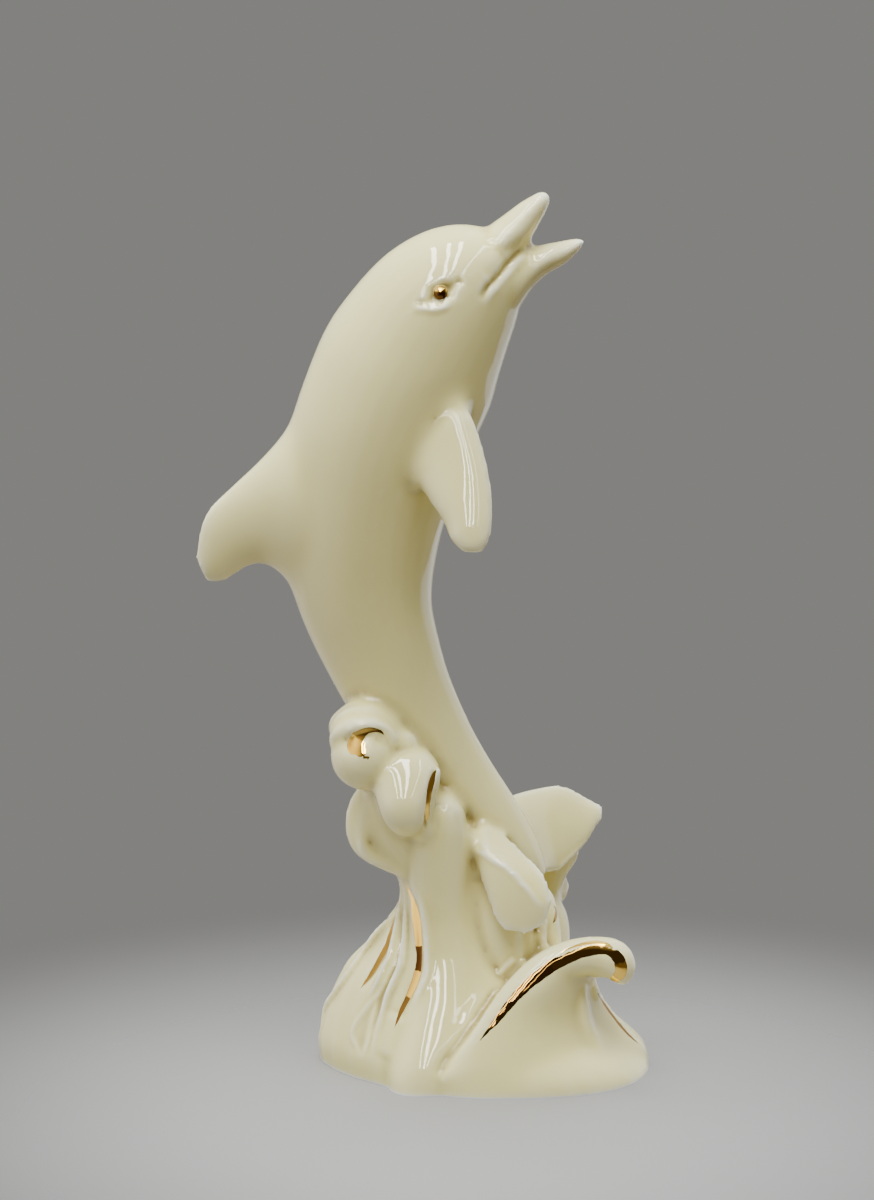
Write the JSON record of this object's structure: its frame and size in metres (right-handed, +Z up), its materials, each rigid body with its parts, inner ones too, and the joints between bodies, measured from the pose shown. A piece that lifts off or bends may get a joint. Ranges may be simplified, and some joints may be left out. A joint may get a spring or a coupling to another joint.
{
  "type": "dolphin figurine",
  "caption": "Glazed ivory porcelain figurine of a dolphin leaping out of breaking waves, with gilded eyes and gold accents. It stands by its own weight on a flat foot.",
  "frame": {"origin": "middle of the flat foot's outline, on the underside", "axes": "+Z up along the height, +X toward the belly and the open mouth, +Y from the dolphin's right flank to its left"},
  "size_m": [0.0664, 0.0408, 0.1285],
  "materials": {
    "porcelain": "glossy ivory glaze with fired gold accents"
  },
  "bodies": {
    "root": {"dolphin_figurine": "porcelain"}
  },
  "joints": []
}
